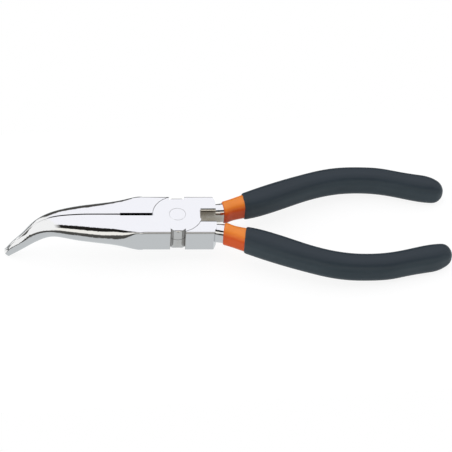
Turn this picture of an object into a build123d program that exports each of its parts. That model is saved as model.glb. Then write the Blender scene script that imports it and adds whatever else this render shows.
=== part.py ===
from build123d import *
import os
from math import cos, radians, sin, tan

os.makedirs("parts", exist_ok=True)

# Bent-nose pliers with a riveted lap joint, in millimetres.
# The pivot axis is Z.  The handles point along +X and the jaws along -X.
# z = 0 is the flat upper face of the joint, and the jaw tips bend down from it.
# The front half owns the jaw on the -Y side and the handle on the +Y side.

# Joint: two half-thickness discs that lap each other, between full-thickness shoulders
joint_width = 18.2
joint_thick = 9.3
lap_thick = joint_thick / 2
mid_z = -lap_thick
disc_radius = 8.8
disc_clearance = 0.2
shoulder_start = 12.2
shoulder_end = 12.8
tang_root = 13.9
tang_root_side = 6.2
edge_round = 0.8

# The front half opens this far, in degrees, before the shoulders across a notch would meet
open_angle = 30.0
notch_spare = 1.5

# Notch in each side of the joint, where the two discs show as a rounded boss
notch_half = joint_width / 2 * tan(radians(open_angle / 2 + notch_spare))
notch_depth = 2.2
boss_radius = 3.6
boss_step = 0.5
boss_reach = disc_radius - boss_step
boss_round = 0.9
lap_groove = 0.12

# Rivet: tight in the front half, a running fit in the back half
rivet_radius = 3.0
rivet_clearance = 0.05

# Jaws: straight to the bend, then tilted down to the tips, which meet before the rest
root_gap = 0.26
tip_gap = 0.06
tip_width = 3.0
tip_thick = 2.7
jaw_edge = 0.2
relief_width = 1.3
relief_start = 20.6
relief_bite = 0.05
bend_corner = 46.5
bend_radius = 14.0
bend_angle = 46.0
tip_run = 15.0

# Grip face teeth
tooth_pitch = 1.25
tooth_width = 1.0
tooth_depth = 0.3
tooth_start = 25.0
tooth_margin = 1.2
tooth_border = 0.6

# Handles: a flat forged tang under two dipped skins
slot_start = 8.1
slot_half = 2.45
slot_corner = 0.7
tang_start = 13.2
tang_thick = 7.0
slot_round = 1.5
root_overlap = 9.6
neck_side = 7.35
end_x = 94.6
end_y = 16.2
end_radius = 2.3
end_heading = -33.0
tang_round = min(2.1, 0.92 * end_radius)

# Dipped skins: each stops at a slanted dip line round the handle
inner_skin = 0.6
outer_skin = 0.5
inner_dip = (16.6, 5.3)
outer_dip = (24.2, 7.9)
dip_slant = 10.0


# Jaw sections from the joint to the tip: distance along the jaw's centre line, how much of the
# joint's extra width and thickness over the tip's is left, then the width and the height of
# the section's elliptical shoulders as shares of its half width and half height
bend_tangent = bend_radius * tan(radians(bend_angle / 2))
bend_start = bend_corner - bend_tangent
bend_length = bend_radius * radians(bend_angle)
bend_end = bend_start + bend_length
tip_distance = bend_end + tip_run
jaw_sections = [
    (shoulder_start, 1.0, 1.0, edge_round / (joint_width / 2), edge_round / lap_thick),
    (15.0, 1.0, 1.0, 0.10, 0.19),
    (17.2, 1.0, 1.0, 0.21, 0.45),
    (19.3, 1.0, 1.0, 0.32, 0.73),
    (21.5, 0.97, 1.0, 0.39, 0.90),
    (24.5, 0.92, 1.0, 0.48, 0.95),
    (28.0, 0.87, 1.0, 0.58, 0.95),
    (31.5, 0.80, 1.0, 0.66, 0.94),
    (35.0, 0.72, 0.97, 0.70, 0.92),
    (bend_start, 0.57, 0.82, 0.77, 0.95),
    (bend_start + bend_length / 2, 0.39, 0.67, 0.81, 0.94),
    (bend_end, 0.26, 0.49, 0.79, 0.88),
    (bend_end + 7.3, 0.13, 0.24, 0.78, 0.86),
    (bend_end + 13.2, 0.03, 0.06, 0.72, 0.81),
    (tip_distance, 0.0, 0.0, 0.67, 0.74),
]


def jaw_plane(distance, side):
    """Plane across the jaw's centre line, with its x axis pointing outwards."""
    turned = min(max(distance - bend_start, 0), bend_length) / bend_radius
    straight = min(distance, bend_start)
    beyond = max(distance - bend_end, 0)
    reach = straight + bend_radius * sin(turned) + beyond * cos(turned)
    drop = bend_radius * (1 - cos(turned)) + beyond * sin(turned)
    heading = (-cos(turned), 0, -sin(turned))
    return Plane(origin=(-reach, 0, mid_z - drop), x_dir=(0, side, 0), z_dir=heading)


def grip_face(distance):
    """Distance of a jaw's grip face from the parting plane, which narrows to the tips."""
    share = (distance - shoulder_start) / (tip_distance - shoulder_start)
    return (root_gap + share * (tip_gap - root_gap)) / 2


def jaw_thick(distance):
    """Thickness of a jaw, read between the two nearest of its sections."""
    before = [section for section in jaw_sections if section[0] <= distance][-1]
    after = [section for section in jaw_sections if section[0] > distance][0]
    share = (distance - before[0]) / (after[0] - before[0])
    thick_left = before[2] + share * (after[2] - before[2])
    return tip_thick + thick_left * (joint_thick - tip_thick)


def jaw_section(distance, side, width_left, thick_left, reach_share, drop_share):
    """Half of a bar: flat on the grip side, with elliptical shoulders on the outer side."""
    half_width = (tip_width + width_left * (joint_width - tip_width)) / 2
    half_height = (tip_thick + thick_left * (joint_thick - tip_thick)) / 2
    reach = reach_share * half_width
    drop = drop_share * half_height
    inner = grip_face(distance)
    middle = (half_width - reach, half_height - drop)
    with BuildSketch(jaw_plane(distance, side)) as section:
        with BuildLine():
            Line((inner + jaw_edge, half_height), (middle[0], half_height))
            EllipticalCenterArc(middle, reach, drop, start_angle=0, arc_size=90)
            Line((half_width, middle[1]), (half_width, -middle[1]))
            EllipticalCenterArc((middle[0], -middle[1]), reach, drop, start_angle=270, arc_size=90)
            Line((middle[0], -half_height), (inner + jaw_edge, -half_height))
            Line((inner + jaw_edge, -half_height), (inner, jaw_edge - half_height))
            Line((inner, jaw_edge - half_height), (inner, half_height - jaw_edge))
            Line((inner, half_height - jaw_edge), (inner + jaw_edge, half_height))
        make_face()
    return section.sketch


def grown(curve, side, skin):
    """Points along a handle edge, moved outwards by the thickness of its skins."""
    steps = [step / 12 for step in range(13)]
    return [curve @ step + skin * (curve % step).rotate(Axis.Z, side * 90) for step in steps]


def tang_outline(side, skin, z):
    """Plan outline of a handle's steel tang, grown by the thickness of its skins."""
    sweep = radians(90 + end_heading)
    along = (sin(sweep), -side * cos(sweep))
    sweep_end = (end_x + end_radius * cos(sweep), side * (end_y + end_radius * sin(sweep)))
    outer_edge = Spline(
        (tang_start, side * neck_side), (17.0, side * 8.15), (25.2, side * 11.95), (47.0, side * 21.2),
        (58.0, side * 24.3), (67.0, side * 24.85), (78.0, side * 23.7), (88.0, side * 21.0),
        sweep_end, tangents=((1, side * 0.05), along),
    )
    inner_edge = Spline(
        (end_x, side * (end_y - end_radius)), (88.0, side * 14.8), (77.0, side * 17.8),
        (69.5, side * 18.75), (62.5, side * 18.65), (49.5, side * 15.5), (27.6, side * 6.2),
        (17.5, side * 3.2), (tang_start, side * slot_half), tangents=((-1, 0), (-1, 0)),
    )
    with BuildSketch(Plane.XY.offset(z)) as outline:
        with BuildLine():
            outer = Spline(*grown(outer_edge, side, skin), tangents=(outer_edge % 0, outer_edge % 1))
            inner = Spline(*grown(inner_edge, side, skin), tangents=(inner_edge % 0, inner_edge % 1))
            ThreePointArc(outer @ 1, (end_x + end_radius + skin, side * end_y), inner @ 0)
            Polyline(
                inner @ 1, (root_overlap, (inner @ 1).Y), (root_overlap, (outer @ 0).Y), outer @ 0
            )
        make_face()
    return outline.sketch


def tang_solid(side, skin):
    """A handle's tang, or the tang and its skins as one solid."""
    half_thick = tang_thick / 2 + skin
    with BuildPart() as tang:
        extrude(tang_outline(side, skin, mid_z - half_thick), amount=2 * half_thick)
        fillet(tang.faces().filter_by(Axis.Z).edges(), tang_round + skin)
    return tang.part


def dip_plane(side, dip):
    """Plane of a dip line; the dipped length lies on its positive side."""
    slant = radians(dip_slant)
    return Plane(origin=(dip[0], side * dip[1], mid_z), z_dir=(cos(slant), side * sin(slant), 0))


def shoulder_outline(side):
    """Plan of the full-thickness shoulders: a jaw root and the handle root across from it."""
    edge = joint_width / 2
    with BuildSketch(Plane.XY.offset(-joint_thick)) as outline:
        with BuildLine():
            Polyline(
                (-notch_half, -side * edge), (-shoulder_start, -side * edge),
                (-shoulder_start, -side * root_gap / 2), (-notch_half, -side * root_gap / 2), close=True,
            )
        make_face()
        with BuildLine():
            Polyline(
                (notch_half, side * edge), (shoulder_end, side * edge),
                (tang_root, side * tang_root_side), (tang_root, side * slot_half),
                (notch_half, side * slot_half), close=True,
            )
        make_face()
    return outline.sketch


def notch_outline(z, boss):
    """Plan of the notches cut in both sides of the joint, round a boss of the given radius."""
    notch_floor = boss_reach + disc_clearance - notch_depth
    with BuildSketch(Plane.XY.offset(z)) as outline:
        for side in (1, -1):
            with Locations((0, side * (notch_floor + joint_width / 2))):
                Rectangle(2 * notch_half, joint_width)
            with Locations((0, side * (boss_reach - boss_radius))):
                Circle(boss, mode=Mode.SUBTRACT)
    return outline.sketch


def boss_corner_outline(outer_face):
    """Corners taken off the bosses, where they meet an outer face of the joint."""
    inwards = 1 if outer_face < mid_z else -1
    with BuildSketch(Plane.YZ) as outline:
        for side in (1, -1):
            with Locations((side * boss_reach, outer_face)):
                Rectangle(2 * boss_round, 2 * boss_round)
        for side in (1, -1):
            with Locations((side * (boss_reach - boss_round), outer_face + inwards * boss_round)):
                Circle(boss_round, mode=Mode.SUBTRACT)
    return outline.sketch


def slot_outline():
    """Plan of the slot between the handle roots, cut into the rim of the discs."""
    length = tang_root - slot_start
    with BuildSketch(Plane.XY.offset(-joint_thick)) as outline:
        with Locations((slot_start + length / 2, 0)):
            RectangleRounded(length, 2 * slot_half, slot_corner)
    return outline.sketch


def forged_half(side):
    """One forging: its handle on the given side, its jaw across, its disc in one layer."""
    own_layer, other_layer = (mid_z, -joint_thick) if side > 0 else (-joint_thick, mid_z)
    outer_face = 0 if side > 0 else -joint_thick
    with BuildPart() as half:
        # Shoulders, with their long edges rounded
        extrude(shoulder_outline(side), amount=joint_thick)
        long_edges = half.edges().filter_by(Axis.X)
        outer_edges = long_edges.filter_by(
            lambda edge: abs(edge.center().Y) > (joint_width - edge_round) / 2
        )
        fillet(outer_edges, edge_round)
        slot_edges = half.edges().filter_by(Axis.X).filter_by(
            lambda edge: abs(edge.center().Y - side * slot_half) < edge_round / 2
        )
        fillet(slot_edges, slot_round)

        # Room for the other half's disc, then this half's own disc
        with BuildSketch(Plane.XY.offset(other_layer)):
            Circle(disc_radius + disc_clearance)
        extrude(amount=lap_thick, mode=Mode.SUBTRACT)
        with BuildSketch(Plane.XY.offset(own_layer)):
            Circle(disc_radius)
        extrude(amount=lap_thick)
        extrude(notch_outline(-joint_thick, boss_radius), amount=joint_thick, mode=Mode.SUBTRACT)
        groove = notch_outline(mid_z - lap_groove, boss_radius - 2 * lap_groove)
        extrude(groove, amount=2 * lap_groove, mode=Mode.SUBTRACT)
        extrude(slot_outline(), amount=joint_thick, mode=Mode.SUBTRACT)
        extrude(boss_corner_outline(outer_face), amount=notch_half, both=True, mode=Mode.SUBTRACT)

        # Jaw and steel tang
        loft([jaw_section(distance, -side, *sizes) for distance, *sizes in jaw_sections])
        add(tang_solid(side, 0))

        # Relief between the jaw roots
        with BuildSketch(Plane.XY.offset(mid_z)):
            with BuildLine():
                Polyline(
                    (-relief_start, -relief_width / 2), (relief_bite - disc_radius, -relief_width / 2),
                    (relief_bite - disc_radius, relief_width / 2), (-relief_start, relief_width / 2),
                    close=True,
                )
            make_face()
        extrude(amount=joint_thick, both=True, mode=Mode.SUBTRACT)

        # Teeth across the grip face
        teeth = int((tip_distance - tooth_margin - tooth_start) / tooth_pitch)
        for tooth in range(teeth):
            distance = tooth_start + tooth * tooth_pitch
            across = jaw_plane(distance, -side)
            root = grip_face(distance)
            with BuildSketch(Plane(origin=across.origin, x_dir=across.x_dir, z_dir=across.y_dir)):
                with BuildLine():
                    Polyline(
                        (root, -tooth_width / 2), (root + tooth_depth, 0), (root, tooth_width / 2),
                        (root - tooth_depth, 0), close=True,
                    )
                make_face()
            extrude(amount=jaw_thick(distance) / 2 - tooth_border, both=True, mode=Mode.SUBTRACT)
    return half.part


# Back half: jaw on +Y, handle on -Y, disc in the lower layer, and a running bore for the rivet
with BuildPart() as back_half:
    add(forged_half(-1))
    with Locations((0, 0, mid_z)):
        Hole(rivet_radius + rivet_clearance, depth=joint_thick)
back_half.part.label = "back_half"
export_step(back_half.part, "parts/back_half.step")

# Front half: jaw on -Y, handle on +Y, disc in the upper layer, and a tight bore for the rivet
with BuildPart() as front_half:
    add(forged_half(1))
    with Locations((0, 0, 0)):
        Hole(rivet_radius, depth=joint_thick)
front_half.part.label = "front_half"
export_step(front_half.part, "parts/front_half.step")

# Rivet: a plain pin, ground flush with both faces of the joint
with BuildPart() as rivet:
    with BuildSketch(Plane.XY.offset(-joint_thick)):
        Circle(rivet_radius)
    extrude(amount=joint_thick)
rivet.part.label = "rivet"
export_step(rivet.part, "parts/rivet.step")

# Dipped skins on each handle: a thin inner one, and an outer one that starts further back
for name, side in (("back", -1), ("front", 1)):
    with BuildPart() as inner_sleeve:
        add(tang_solid(side, inner_skin))
        split(bisect_by=dip_plane(side, inner_dip), keep=Keep.TOP)
        add(tang_solid(side, 0), mode=Mode.SUBTRACT)
    inner_sleeve.part.label = f"{name}_inner_sleeve"
    export_step(inner_sleeve.part, f"parts/{name}_inner_sleeve.step")

    with BuildPart() as outer_grip:
        add(tang_solid(side, inner_skin + outer_skin))
        split(bisect_by=dip_plane(side, outer_dip), keep=Keep.TOP)
        add(tang_solid(side, inner_skin), mode=Mode.SUBTRACT)
    outer_grip.part.label = f"{name}_outer_grip"
    export_step(outer_grip.part, f"parts/{name}_outer_grip.step")
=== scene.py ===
from math import cos, pi, radians, sin

import bpy
from mathutils import Matrix, Vector
from mathutils.bvhtree import BVHTree


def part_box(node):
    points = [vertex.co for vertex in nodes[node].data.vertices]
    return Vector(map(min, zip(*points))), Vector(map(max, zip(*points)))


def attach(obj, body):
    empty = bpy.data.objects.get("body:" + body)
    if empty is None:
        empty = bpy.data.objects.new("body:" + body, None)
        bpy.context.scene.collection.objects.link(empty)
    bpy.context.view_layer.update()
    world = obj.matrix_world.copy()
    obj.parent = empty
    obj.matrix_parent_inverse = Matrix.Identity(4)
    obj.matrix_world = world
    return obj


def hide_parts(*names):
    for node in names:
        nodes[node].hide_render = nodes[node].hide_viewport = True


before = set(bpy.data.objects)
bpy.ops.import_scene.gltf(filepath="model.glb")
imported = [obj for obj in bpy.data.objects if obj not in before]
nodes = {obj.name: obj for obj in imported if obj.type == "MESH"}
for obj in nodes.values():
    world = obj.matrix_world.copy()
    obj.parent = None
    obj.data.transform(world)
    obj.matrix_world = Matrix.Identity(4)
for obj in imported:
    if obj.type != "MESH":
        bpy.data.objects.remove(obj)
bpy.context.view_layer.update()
scene = bpy.context.scene
scene.view_settings.view_transform = "Standard"


# The camera.
# It looks down on the flat side of the joint from the near handle's side, with a long lens
# from a metre away, so that the tool lies almost square across the picture.
LOOK_DOWN = radians(46)
LOOK_ROUND = radians(4)
LENS_DISTANCE = 1.0
NEAREST_SEEN = 0.01
PICTURE_WIDTH = 0.16263
SENSOR_WIDTH = 36.0
CENTRE_ALONG = 0.01763
CENTRE_UP = -0.001025

pin_low, pin_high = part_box("rivet")
pivot = (pin_low + pin_high) / 2
view_right = Vector(
    (cos(LOOK_ROUND), -sin(LOOK_ROUND) * cos(LOOK_DOWN), sin(LOOK_ROUND) * sin(LOOK_DOWN))
)
view_up = Vector((0, sin(LOOK_DOWN), cos(LOOK_DOWN)))
view_back = view_right.cross(view_up)
view_centre = pivot + CENTRE_ALONG * view_right + CENTRE_UP * view_up
camera = bpy.data.objects.new("camera", bpy.data.cameras.new("camera"))
camera.data.sensor_width = SENSOR_WIDTH
camera.data.lens = SENSOR_WIDTH * LENS_DISTANCE / PICTURE_WIDTH
camera.data.clip_start = NEAREST_SEEN
turned = Matrix((view_right, view_up, view_back)).transposed().to_4x4()
camera.matrix_world = Matrix.Translation(view_centre + LENS_DISTANCE * view_back) @ turned
scene.collection.objects.link(camera)
scene.camera = camera


# The white card.
# A matt card lies under the pliers, tipped so that the jaw tips and the ends of the handles
# both rest on it. In the plating it shows pale grey, up to a dark band along its near side
# that is a painted reflection, seen in reflections only; to the eye it is white all over, with a
# faint shadow.
CARD_ALONG = (-0.088, 0.122)
CARD_ACROSS = (-0.075, 0.062)
CARD_CLEARANCE = 0.0001
GRIP_END = (0.012, 0.004)
CARD_GREY = (0.80, 0.83, 0.84, 1)
# Painted reflection: the dark band that the plating shows along the card's near side
DARK_REFLECTION_GREY = (0.10, 0.098, 0.09, 1)
DARK_REFLECTION_FROM = -0.029
DARK_REFLECTION_FULL = -0.033
SHADED_WHITE = (0.15, 0.15, 0.15, 1)
OWN_WHITE = 0.87
BOUNCED_WHITE = (0.8, 0.8, 0.8, 1)


def lowest_point(node, first_x, last_x):
    """The lowest point of a node between two places along the tool."""
    points = [v.co.copy() for v in nodes[node].data.vertices if first_x <= v.co.x <= last_x]
    return min(points, key=lambda point: point.z)


def put(tree, kind, inputs=None, **settings):
    """Adds a node to a tree, sets it up, and feeds its inputs from values or other outputs."""
    node = tree.nodes.new(kind)
    for name, value in settings.items():
        setattr(node, name, value)
    for name, value in (inputs or {}).items():
        if isinstance(value, bpy.types.NodeSocket):
            tree.links.new(value, node.inputs[name])
        else:
            node.inputs[name].default_value = value
    return node


def reckon(tree, operation, *values):
    """One sum on numbers, each of them a plain value or another node's output."""
    return put(tree, "ShaderNodeMath", dict(enumerate(values)), operation=operation).outputs[0]


def grade(tree, value, start, end, low=0.0, high=1.0, **settings):
    """A number that goes from low to high as the value goes from start to end."""
    inputs = {0: value, 1: start, 2: end, 3: low, 4: high}
    return put(tree, "ShaderNodeMapRange", inputs, **settings).outputs[0]


def tint(tree, share, first, second):
    """A colour that goes from the first to the second as the share goes from 0 to 1."""
    inputs = {0: share, 6: first, 7: second}
    return put(tree, "ShaderNodeMix", inputs, data_type="RGBA").outputs[2]


jaw_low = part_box("front_half")[0]
grip_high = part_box("front_outer_grip")[1]
tip_touch = lowest_point("front_half", jaw_low.x, 0)
grip_touch = lowest_point("front_outer_grip", grip_high.x - GRIP_END[0], grip_high.x - GRIP_END[1])
card_slope = (grip_touch.z - tip_touch.z) / (grip_touch.x - tip_touch.x)
card_corners = [
    (x, y, tip_touch.z + card_slope * (x - tip_touch.x) - CARD_CLEARANCE)
    for x, y in zip(CARD_ALONG + CARD_ALONG[::-1], [CARD_ACROSS[0]] * 2 + [CARD_ACROSS[1]] * 2)
]
card_mesh = bpy.data.meshes.new("white_card")
card_mesh.from_pydata(card_corners, [], [(0, 1, 2, 3)])
white_card = bpy.data.objects.new("white_card", card_mesh)
scene.collection.objects.link(white_card)

card_paint = bpy.data.materials.new("matt_white_card")
card_paint.use_nodes = True
tree = card_paint.node_tree
tree.nodes.clear()
ray = put(tree, "ShaderNodeLightPath").outputs
place = put(tree, "ShaderNodeTexCoord").outputs
spot = put(tree, "ShaderNodeSeparateXYZ", {0: place["Object"]}).outputs
# Painted reflection: a dark band along the card's near side, shown only in reflections
in_dark_reflection = grade(tree, spot["Y"], DARK_REFLECTION_FROM, DARK_REFLECTION_FULL)
mirrored = tint(tree, in_dark_reflection, CARD_GREY, DARK_REFLECTION_GREY)
shaded = put(tree, "ShaderNodeBsdfDiffuse", {"Color": SHADED_WHITE}).outputs[0]
own_white = put(tree, "ShaderNodeEmission", {"Strength": OWN_WHITE}).outputs[0]
to_eye = put(tree, "ShaderNodeAddShader", {0: shaded, 1: own_white}).outputs[0]
in_plating = put(tree, "ShaderNodeEmission", {"Color": mirrored}).outputs[0]
bounce = put(tree, "ShaderNodeBsdfDiffuse", {"Color": BOUNCED_WHITE}).outputs[0]
shiny = reckon(tree, "MAXIMUM", ray["Is Glossy Ray"], ray["Is Transmission Ray"])
unseen = put(tree, "ShaderNodeMixShader", {0: shiny, 1: bounce, 2: in_plating}).outputs[0]
card_look = put(tree, "ShaderNodeMixShader", {0: ray["Is Camera Ray"], 1: unseen, 2: to_eye})
put(tree, "ShaderNodeOutputMaterial", {"Surface": card_look.outputs[0]})
card_mesh.materials.append(card_paint)


# The light tent.
# A long tent over the bench, from the back over the top to the front: a dark gap, a wide white
# bank, a dark slot that the camera looks through, and a cream sheet. A white wall stands past
# the jaw tips, and the room under the bench is dark.
BANDS = [
    (0, (0.09, 0.088, 0.08)),
    (24, (0.10, 0.098, 0.09)),
    (28, (1.43, 1.43, 1.49)),
    (111, (1.43, 1.43, 1.49)),
    (114, (0.02, 0.02, 0.018)),
    (144, (0.02, 0.02, 0.018)),
    (147, (1.38, 1.35, 1.27)),
    (176, (1.38, 1.35, 1.27)),
    (180, (0.14, 0.135, 0.125)),
]
HALF_TURN = 180
UNDER_BENCH = (0.12, 0.118, 0.11, 1)
END_WALL = (1.40, 1.40, 1.38, 1)
END_WALL_FROM = -0.46
END_WALL_FULL = -0.54
END_WALL_FOOT = -0.1
PLAIN_WHITE = (1, 1, 1, 1)

tent = bpy.data.worlds.new("light_tent")
scene.world = tent
tent.use_nodes = True
tree = tent.node_tree
tree.nodes.clear()
towards = put(tree, "ShaderNodeTexCoord").outputs["Generated"]
parts = put(tree, "ShaderNodeSeparateXYZ", {0: towards}).outputs
turn_share = reckon(tree, "DIVIDE", reckon(tree, "ARCTAN2", parts["Z"], parts["Y"]), pi)
bands = put(tree, "ShaderNodeValToRGB", {"Fac": turn_share})
while len(bands.color_ramp.elements) < len(BANDS):
    bands.color_ramp.elements.new(0.5)
for element, (angle, colour) in zip(bands.color_ramp.elements, BANDS):
    element.position = angle / HALF_TURN
    element.color = (*colour, 1)
above = reckon(tree, "GREATER_THAN", parts["Z"], 0.0)
room = tint(tree, above, UNDER_BENCH, bands.outputs["Color"])
at_end = grade(tree, parts["X"], END_WALL_FROM, END_WALL_FULL)
over_foot = reckon(tree, "GREATER_THAN", parts["Z"], END_WALL_FOOT)
on_wall = reckon(tree, "MULTIPLY", at_end, over_foot)
lit = put(tree, "ShaderNodeBackground", {"Color": tint(tree, on_wall, room, END_WALL)}).outputs[0]
plain = put(tree, "ShaderNodeBackground", {"Color": PLAIN_WHITE}).outputs[0]
looked_at = put(tree, "ShaderNodeLightPath").outputs["Is Camera Ray"]
tent_look = put(tree, "ShaderNodeMixShader", {0: looked_at, 1: lit, 2: plain}).outputs[0]
put(tree, "ShaderNodeOutputWorld", {"Surface": tent_look})


# The two forged halves.
# Each is a drop forging in tool steel, ground and polished all over and then bright chrome
# plated. On the walls of the slot and the notches of the joint the chrome is darker and yellower,
# as painted shade, and duller.
BELT_SCALE = (140, 2600, 2600)
RIPPLE_SCALE = 95
SMEAR_SCALE = 260
SMEARED = (0.45, 0.75)
SMEAR_DULLING = 0.05
UPRIGHT = (0.5, 0.9)
SLOT_START = 0.0078
SLOT_WALL = (0.0026, 0.0034)
NOTCH_HALF = 0.0029
NOTCH_SHARE = 0.35
PATCHES = (0.3, 0.7)
PATCH_LEAST = 0.55
CHROME = (0.62, 0.623, 0.632, 1)
# Painted shade: the darker, yellower chrome of the slot and notch walls
SHADED_RECESS_CHROME = (0.36, 0.32, 0.26, 1)
RECESS_DULLING = 0.18
BUMP_DEPTH = 0.001
LOOK_OUTPUTS = {
    "Base Color": "NodeSocketColor", "Roughness": "NodeSocketFloat", "Height": "NodeSocketFloat"
}


def shader_group(name, inputs, outputs):
    """A shader node group with number and colour inputs, and outputs of the kinds given."""
    group = bpy.data.node_groups.new(name, "ShaderNodeTree")
    for label, value in inputs.items():
        kind = "NodeSocketColor" if isinstance(value, tuple) else "NodeSocketFloat"
        socket = group.interface.new_socket(name=label, in_out="INPUT", socket_type=kind)
        socket.default_value = value
    for label, kind in outputs.items():
        group.interface.new_socket(name=label, in_out="OUTPUT", socket_type=kind)
    return group, put(group, "NodeGroupInput").outputs, put(group, "NodeGroupOutput").inputs


def material_with(name, group_name, values, **shader_values):
    """A Principled material, with a group whose outputs feed the sockets they are named for."""
    material = bpy.data.materials.new(name)
    material.use_nodes = True
    tree = material.node_tree
    shader = tree.nodes["Principled BSDF"]
    for label, value in shader_values.items():
        shader.inputs[label.replace("_", " ")].default_value = value
    effect = put(tree, "ShaderNodeGroup", node_tree=bpy.data.node_groups[group_name])
    for label, value in values.items():
        effect.inputs[label].default_value = value
    for output in effect.outputs:
        if output.name in shader.inputs:
            tree.links.new(output, shader.inputs[output.name])
    height = effect.outputs["Height"]
    bump = put(tree, "ShaderNodeBump", {"Height": height, "Distance": BUMP_DEPTH})
    tree.links.new(bump.outputs["Normal"], shader.inputs["Normal"])
    return material


def noise(group, vector, scale, detail):
    """How far a grain of the given scale stands at each spot."""
    inputs = {"Vector": vector, "Scale": scale, "Detail": detail}
    return put(group, "ShaderNodeTexNoise", inputs).outputs[0]


plating_inputs = {
    "Polish": 0.05, "Line Height": 0.004, "Wave Height": 0.03, "Slot Start": 1.0,
    "Notch Width": 0.0,
}
group, given, gives = shader_group("plating", plating_inputs, LOOK_OUTPUTS)
place = put(group, "ShaderNodeTexCoord").outputs
spot = put(group, "ShaderNodeSeparateXYZ", {0: place["Object"]}).outputs
belt = put(group, "ShaderNodeMapping", {"Vector": place["Object"], "Scale": BELT_SCALE}).outputs[0]
belt_lines = noise(group, belt, scale=1, detail=3)
lines = reckon(group, "MULTIPLY", belt_lines, given["Line Height"])
ripple = noise(group, place["Object"], RIPPLE_SCALE, detail=1)
waves = reckon(group, "MULTIPLY", ripple, given["Wave Height"])
group.links.new(reckon(group, "ADD", lines, waves), gives["Height"])
smears = noise(group, place["Object"], SMEAR_SCALE, detail=4)
dulling = grade(group, smears, *SMEARED, 0.0, SMEAR_DULLING)
rough = reckon(group, "ADD", dulling, given["Polish"])

# Painted shade: the chrome is darker, yellower and duller on the walls between the handle
# roots and beside the bosses in the notches
across = reckon(group, "ABSOLUTE", spot["Y"])
aside = reckon(group, "ABSOLUTE", spot["X"])
facing = put(group, "ShaderNodeSeparateXYZ", {0: place["Normal"]}).outputs
sideways = grade(group, reckon(group, "ABSOLUTE", facing["Z"]), *UPRIGHT, 1.0, 0.0)
past_disc = reckon(group, "GREATER_THAN", spot["X"], given["Slot Start"])
in_slot = grade(group, across, *SLOT_WALL, 1.0, 0.0)
slot_wall = reckon(group, "MULTIPLY", past_disc, in_slot)
in_notch = reckon(group, "LESS_THAN", aside, given["Notch Width"])
notch_shade_and_dulling = reckon(group, "MULTIPLY", in_notch, NOTCH_SHARE)
recess_shade_and_dulling = reckon(group, "MULTIPLY", reckon(group, "MAXIMUM", slot_wall, notch_shade_and_dulling), sideways)
patchy = grade(group, smears, *PATCHES, PATCH_LEAST, 1.0)
patchy_shade_and_dulling = reckon(group, "MULTIPLY", recess_shade_and_dulling, patchy)
# Painted shade: the chrome turns darker and yellower on the slot and notch walls
group.links.new(tint(group, patchy_shade_and_dulling, CHROME, SHADED_RECESS_CHROME), gives["Base Color"])
dulled = reckon(group, "MULTIPLY_ADD", patchy_shade_and_dulling, RECESS_DULLING, rough)
group.links.new(dulled, gives["Roughness"])

slot_and_notch = {"Slot Start": SLOT_START, "Notch Width": NOTCH_HALF}
chrome = material_with("bright_chrome", "plating", slot_and_notch, Metallic=1)
for name in ("back_half", "front_half"):
    nodes[name].material_slots[0].material = chrome


# The rivet.
# A plain steel pin, pressed into the front half and turned flush with both faces of the joint,
# so that only a fine turned ring shows. It is plated with the halves.
RIVET_SEGMENTS = 96
RIM_BREAK = 0.00012
DISH = 0.00006
DISH_FLAT = 0.35
DISH_SLOPE = 0.7
PIN_POLISH = 0.09
PIN_WAVES = 0.015

pin_radius = (pin_high.x - pin_low.x) / 2
turned_face = [
    (0, -DISH), (DISH_FLAT, -DISH), (DISH_SLOPE, -DISH / 2),
    (1 - RIM_BREAK / pin_radius, 0), (1, -RIM_BREAK),
]
profile = [(r * pin_radius, pin_high.z + drop) for r, drop in turned_face]
profile += [(r * pin_radius, pin_low.z - drop) for r, drop in reversed(turned_face)]
verts = [(0, 0, profile[0][1]), (0, 0, profile[-1][1])]
faces = []
rings = profile[1:-1]
turns = [2 * pi * i / RIVET_SEGMENTS for i in range(RIVET_SEGMENTS)]
for radius, z in rings:
    verts += [(radius * cos(turn), radius * sin(turn), z) for turn in turns]
for i in range(RIVET_SEGMENTS):
    after = (i + 1) % RIVET_SEGMENTS
    faces.append((0, 2 + i, 2 + after))
    for ring in range(len(rings) - 1):
        row = 2 + ring * RIVET_SEGMENTS
        below = row + RIVET_SEGMENTS
        faces.append((row + i, below + i, below + after, row + after))
    last = 2 + (len(rings) - 1) * RIVET_SEGMENTS
    faces.append((1, last + after, last + i))
rivet_mesh = bpy.data.meshes.new("turned_rivet")
rivet_mesh.from_pydata(verts, [], faces)
turned_rivet = bpy.data.objects.new("turned_rivet", rivet_mesh)
scene.collection.objects.link(turned_rivet)
pin_finish = {"Polish": PIN_POLISH, "Wave Height": PIN_WAVES}
rivet_mesh.materials.append(material_with("turned_chrome", "plating", pin_finish, Metallic=1))
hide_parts("rivet")
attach(turned_rivet, "front")


# The dipped skins: an orange one on each handle, and a dark one over it.
# The handles are hung in hot plastisol, once in orange and once, less deep, in dark grey, so
# each skin is an even coat whose edge thins out to a rounded lip along a slanted dip line.
DIP_SLANT = radians(10)
INNER_WALL = 0.0006
OUTER_WALL = 0.0005
LIP_LENGTH = 0.0008
TURN_IN = 0.016
END_ROUNDING = 0.6
END_TURN = (0.003, 0.012)
ROWS = 150
AROUND = 72
BLUR_STEPS = 2
LAST_ROW = 0.9999
MERGE_WITHIN = 0.0000005
RAY_START = 0.03
PATH_STEPS = 22
PATH_FINENESS = 12
PATH_SIDE = 0.06
RIM_DEPTH = 0.00001
PEBBLE_SCALE = 1500
FLOW_SCALE = (60, 240, 240)
SAG_HEIGHT = 0.05
FLOW_SPREAD = (0.3, 0.7)
SHINE_SWING = 0.06
FLATS = (0.25, 0.95)
MID_GREY = (0.5, 0.5, 0.5, 1)
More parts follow.
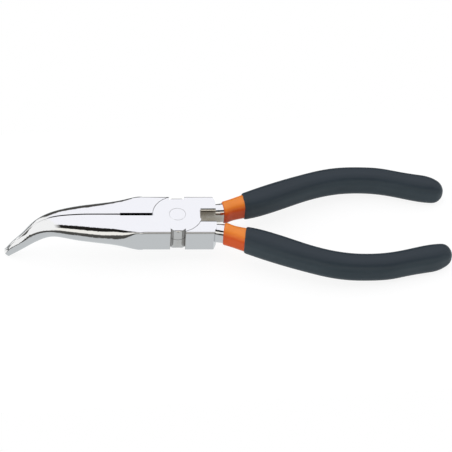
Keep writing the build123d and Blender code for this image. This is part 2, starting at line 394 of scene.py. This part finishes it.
# Painted light: each coat has one shade for its sides and another for its flats
ORANGE = {
    "Shine": 0.32, "Mottle": 0.08,
    "Deep Shade": (0.647, 0.085, 0.006, 1), "Thin Shade": (0.73, 0.21, 0.02, 1),
}
DARK_GREY = {
    "Shine": 0.42, "Mottle": 0.12,
    "Deep Shade": (0.035, 0.050, 0.062, 1), "Thin Shade": (0.018, 0.027, 0.036, 1),
}


def dipped_skin_tree():
    """A coat that follows a handle: rings set along a path and shrunk on to the outside of it."""
    tree = bpy.data.node_groups.new("dipped_skin", "GeometryNodeTree")
    sockets = [
        ("Core", "Object"), ("Path", "Object"), ("Wall", "Float"), ("Lip", "Float"),
        ("Dip Turn", "Float"), ("End Rounding", "Float"), ("Rows", "Int"), ("Around", "Int"),
        ("Finish", "Material"),
    ]
    for label, kind in sockets:
        tree.interface.new_socket(name=label, in_out="INPUT", socket_type=f"NodeSocket{kind}")
    tree.interface.new_socket(name="Geometry", in_out="OUTPUT", socket_type="NodeSocketGeometry")
    given = put(tree, "NodeGroupInput").outputs

    def maths(operation, *values):
        return reckon(tree, operation, *values)

    def vectors(operation, *values):
        node = put(tree, "ShaderNodeVectorMath", operation=operation)
        second = node.inputs["Scale"] if operation == "SCALE" else node.inputs[1]
        for socket, value in zip((node.inputs[0], second), values):
            if isinstance(value, bpy.types.NodeSocket):
                tree.links.new(value, socket)
            else:
                socket.default_value = value
        return node.outputs[0]

    def vector(**parts):
        return put(tree, "ShaderNodeCombineXYZ", parts).outputs[0]

    def parts_of(value):
        return put(tree, "ShaderNodeSeparateXYZ", {0: value}).outputs

    def clamped(value):
        return put(tree, "ShaderNodeClamp", {"Value": value}).outputs[0]

    def softly(value, start, end):
        return grade(tree, value, start, end, interpolation_type="SMOOTHSTEP")

    def between(share, first, second):
        inputs = {0: share, 4: first, 5: second}
        return put(tree, "ShaderNodeMix", inputs, data_type="VECTOR").outputs[1]

    def moved(geometry, **inputs):
        return put(tree, "GeometryNodeSetPosition", {"Geometry": geometry, **inputs}).outputs[0]

    def merged(geometry):
        inputs = {"Geometry": geometry, "Distance": MERGE_WITHIN}
        return put(tree, "GeometryNodeMergeByDistance", inputs).outputs[0]

    core = put(tree, "GeometryNodeObjectInfo", {"Object": given["Core"]}).outputs["Geometry"]
    path = put(tree, "GeometryNodeObjectInfo", {"Object": given["Path"]}).outputs["Geometry"]
    tube = put(
        tree,
        "GeometryNodeMeshCylinder",
        {"Vertices": given["Around"], "Side Segments": given["Rows"], "Radius": 1.0, "Depth": 1.0},
        fill_type="NONE",
    ).outputs["Mesh"]
    spot = parts_of(put(tree, "GeometryNodeInputPosition").outputs[0])
    row_share = clamped(maths("ADD", spot["Z"], 0.5))
    # Rows crowd together towards the lip and towards the rounded end
    to_end = maths("SINE", maths("MULTIPLY", row_share, pi / 2))
    to_lip = maths("MULTIPLY", row_share, row_share)
    nearer_lip = maths("SUBTRACT", 1.0, row_share)
    along = maths("ADD", to_end, maths("MULTIPLY", nearer_lip, maths("SUBTRACT", to_lip, to_end)))
    angle = maths("ARCTAN2", spot["Y"], spot["X"])
    sampled = {"Curves": path, "Factor": along}
    step = put(
        tree, "GeometryNodeSampleCurve", sampled, mode="FACTOR", use_all_curves=True
    ).outputs
    length = put(tree, "GeometryNodeCurveLength", {"Curve": path}).outputs[0]
    reach = maths("MULTIPLY", along, length)
    # Rings face along the dip at the lip, then along the path, and along the tool at the free end
    dip_turn = given["Dip Turn"]
    dip_way = vector(X=maths("COSINE", dip_turn), Y=maths("SINE", dip_turn), Z=0.0)
    from_dip = between(softly(reach, 0.0, TURN_IN), dip_way, step["Tangent"])
    near_end = softly(maths("SUBTRACT", length, reach), END_TURN[1], END_TURN[0])
    forward = between(near_end, from_dip, (1.0, 0.0, 0.0))
    sideways = vectors("NORMALIZE", vectors("CROSS_PRODUCT", (0.0, 0.0, 1.0), forward))
    outwards = vectors(
        "ADD",
        vectors("SCALE", sideways, maths("COSINE", angle)),
        vectors("SCALE", (0.0, 0.0, 1.0), maths("SINE", angle)),
    )
    ray = {
        "Target Geometry": core,
        "Source Position": vectors("ADD", step["Position"], vectors("SCALE", outwards, RAY_START)),
        "Ray Direction": vectors("SCALE", outwards, -1.0),
        "Ray Length": RAY_START,
    }
    hit = put(tree, "GeometryNodeRaycast", ray).outputs
    radius = maths("MULTIPLY", maths("SUBTRACT", RAY_START, hit["Hit Distance"]), hit["Is Hit"])
    kept_values = put(tree, "GeometryNodeCaptureAttribute", {"Geometry": tube})
    for kind, label, value in (
        ("FLOAT", "Radius", radius), ("FLOAT", "Row Share", row_share), ("FLOAT", "Reach", reach),
        ("VECTOR", "Middle", step["Position"]), ("VECTOR", "Outwards", outwards),
    ):
        kept_values.capture_items.new(kind, label)
        tree.links.new(value, kept_values.inputs[label])
    rows = kept_values.outputs
    # Evened out, but nowhere further out than the handle, and drawn to a point at the free end
    blur = {"Iterations": BLUR_STEPS, "Value": rows["Radius"]}
    even = put(tree, "GeometryNodeBlurAttribute", blur, data_type="FLOAT").outputs[0]
    before_end = maths("LESS_THAN", rows["Row Share"], LAST_ROW)
    kept = maths("MULTIPLY", maths("MINIMUM", even, rows["Radius"]), before_end)
    spread = vectors("ADD", rows["Middle"], vectors("SCALE", rows["Outwards"], kept))
    surface = merged(moved(rows["Geometry"], Position=spread))
    # The lip: from the outer face down to the wall's own depth along a quarter ellipse
    edge_share = clamped(maths("SUBTRACT", 1.0, maths("DIVIDE", rows["Reach"], given["Lip"])))
    edge_arch = maths("SQRT", maths("SUBTRACT", 1.0, maths("MULTIPLY", edge_share, edge_share)))
    fade = maths("SUBTRACT", 1.0, edge_arch)
    normal = put(tree, "GeometryNodeInputNormal").outputs[0]
    walls = []
    for depth in (maths("MULTIPLY", fade, given["Wall"]), given["Wall"]):
        inwards = vectors("SCALE", normal, maths("MULTIPLY", depth, -1.0))
        walls.append(moved(surface, Offset=inwards))
    inside = put(tree, "GeometryNodeFlipFaces", {"Mesh": walls[1]}).outputs[0]
    both = put(tree, "GeometryNodeJoinGeometry")
    tree.links.new(inside, both.inputs[0])
    tree.links.new(walls[0], both.inputs[0])
    # The free end is rounded over its thickness, as far back as half of it
    box = put(tree, "GeometryNodeBoundBox", {"Geometry": core}).outputs
    low = parts_of(box["Min"])
    high = parts_of(box["Max"])
    half_thick = maths("MULTIPLY", maths("SUBTRACT", high["Z"], low["Z"]), 0.5)
    middle_z = maths("ADD", low["Z"], half_thick)
    here = parts_of(put(tree, "GeometryNodeInputPosition").outputs[0])
    from_end = maths("DIVIDE", maths("SUBTRACT", high["X"], here["X"]), half_thick)
    past_round = clamped(maths("SUBTRACT", 1.0, from_end))
    arch = maths("SQRT", maths("SUBTRACT", 1.0, maths("MULTIPLY", past_round, past_round)))
    lost = maths("MULTIPLY", given["End Rounding"], maths("SUBTRACT", 1.0, arch))
    over_middle = maths("SUBTRACT", here["Z"], middle_z)
    rounded_z = maths("ADD", middle_z, maths("MULTIPLY", over_middle, maths("SUBTRACT", 1.0, lost)))
    closed = merged(moved(both.outputs[0], Position=vector(X=here["X"], Y=here["Y"], Z=rounded_z)))
    soft = put(tree, "GeometryNodeSetShadeSmooth", {"Geometry": closed}).outputs[0]
    real = put(tree, "GeometryNodeRealizeInstances", {"Geometry": soft}).outputs[0]
    finish = {"Geometry": real, "Material": given["Finish"]}
    painted = put(tree, "GeometryNodeSetMaterial", finish).outputs[0]
    put(tree, "NodeGroupOutput", {"Geometry": painted})
    return tree


def handle_path(node, dip_way):
    """A curve down the middle of a handle, from its dip line to its tip, read off the CAD node."""
    mesh = nodes[node].data
    solid = BVHTree.FromPolygons([v.co for v in mesh.vertices], [p.vertices for p in mesh.polygons])
    nearest = min(dip_way.dot(v.co) for v in mesh.vertices)
    rim = [v.co for v in mesh.vertices if dip_way.dot(v.co) < nearest + RIM_DEPTH]
    low = Vector(min(point[axis] for point in rim) for axis in range(3))
    high = Vector(max(point[axis] for point in rim) for axis in range(3))
    start = (low + high) / 2
    tip = max((v.co for v in mesh.vertices), key=lambda point: point.x)
    middle_z = start.z
    points = [start]
    for step in range(1, PATH_STEPS):
        x = start.x + (tip.x - start.x) * sin(pi / 2 * step / PATH_STEPS)
        above = solid.ray_cast(Vector((x, PATH_SIDE, middle_z)), Vector((0, -1, 0)))[0]
        below = solid.ray_cast(Vector((x, -PATH_SIDE, middle_z)), Vector((0, 1, 0)))[0]
        points.append((above + below) / 2)
    points.append(Vector((tip.x, tip.y, middle_z)))
    curve = bpy.data.curves.new(f"{node}_path", "CURVE")
    curve.dimensions = "3D"
    spline = curve.splines.new("NURBS")
    spline.points.add(len(points) - 1)
    for knot, point in zip(spline.points, points):
        knot.co = (*point, 1)
    spline.order_u = 3
    spline.use_endpoint_u = True
    spline.resolution_u = PATH_FINENESS
    path = bpy.data.objects.new(f"{node}_path", curve)
    scene.collection.objects.link(path)
    return path


skin_tree = dipped_skin_tree()


def dip(name, node, body, side, wall, finish):
    """One dipped skin: its own plain mesh in place of the CAD node it follows."""
    turn = side * DIP_SLANT
    path = handle_path(node, Vector((cos(turn), sin(turn), 0)))
    maker = bpy.data.objects.new(f"{name}_maker", bpy.data.meshes.new(f"{name}_maker"))
    scene.collection.objects.link(maker)
    modifier = maker.modifiers.new("dipped_skin", "NODES")
    modifier.node_group = skin_tree
    values = {
        "Core": nodes[node], "Path": path, "Wall": wall, "Lip": LIP_LENGTH, "Dip Turn": turn,
        "End Rounding": END_ROUNDING, "Rows": ROWS, "Around": AROUND, "Finish": finish,
    }
    for item in skin_tree.interface.items_tree:
        if item.in_out == "INPUT":
            modifier[item.identifier] = values[item.name]
    depsgraph = bpy.context.evaluated_depsgraph_get()
    mesh = bpy.data.meshes.new_from_object(maker.evaluated_get(depsgraph))
    mesh.name = name
    maker.modifiers.remove(modifier)
    bpy.data.objects.remove(maker)
    bpy.data.objects.remove(path)
    skin = bpy.data.objects.new(name, mesh)
    scene.collection.objects.link(skin)
    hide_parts(node)
    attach(skin, body)


plastisol_inputs = {
    "Shine": 0.4, "Grain Height": 0.012, "Deep Shade": MID_GREY, "Thin Shade": MID_GREY,
    "Mottle": 0.1,
}
group, given, gives = shader_group("plastisol", plastisol_inputs, LOOK_OUTPUTS)
place = put(group, "ShaderNodeTexCoord").outputs
pebble = noise(group, place["Object"], PEBBLE_SCALE, detail=2)
drawn_out = put(group, "ShaderNodeMapping", {"Vector": place["Object"], "Scale": FLOW_SCALE})
flow = noise(group, drawn_out.outputs[0], scale=1, detail=3)
grain = reckon(group, "MULTIPLY", pebble, given["Grain Height"])
sag = reckon(group, "MULTIPLY", flow, SAG_HEIGHT)
group.links.new(reckon(group, "ADD", grain, sag), gives["Height"])
swing = grade(group, flow, *FLOW_SPREAD, -0.5, 0.5)
shine = reckon(group, "MULTIPLY_ADD", swing, SHINE_SWING, given["Shine"])
group.links.new(shine, gives["Roughness"])

# Painted light: the broad flats of the tang, facing up or down, get a paler orange and a
# darker grey than the sides
facing = put(group, "ShaderNodeSeparateXYZ", {0: place["Normal"]}).outputs
painted_flat_light = grade(group, reckon(group, "ABSOLUTE", facing["Z"]), *FLATS)
painted_light_tone = tint(group, painted_flat_light, given["Deep Shade"], given["Thin Shade"])
level = reckon(group, "MULTIPLY_ADD", swing, given["Mottle"], 1.0)
mottled = put(group, "ShaderNodeVectorMath", {0: painted_light_tone}, operation="SCALE")
group.links.new(level, mottled.inputs["Scale"])
group.links.new(mottled.outputs[0], gives["Base Color"])

orange_dip = material_with("orange_plastisol", "plastisol", ORANGE, Specular_IOR_Level=0.3)
dark_dip = material_with("dark_plastisol", "plastisol", DARK_GREY, Specular_IOR_Level=0.2)
for body, side in (("back", -1), ("front", 1)):
    for colour, node, slot, wall, finish in (
        ("orange", "inner_sleeve", "inner_dip", INNER_WALL, orange_dip),
        ("dark", "outer_grip", "outer_dip", OUTER_WALL, dark_dip),
    ):
        dip(f"{body}_{colour}_skin", f"{body}_{node}", body, side, wall, finish)
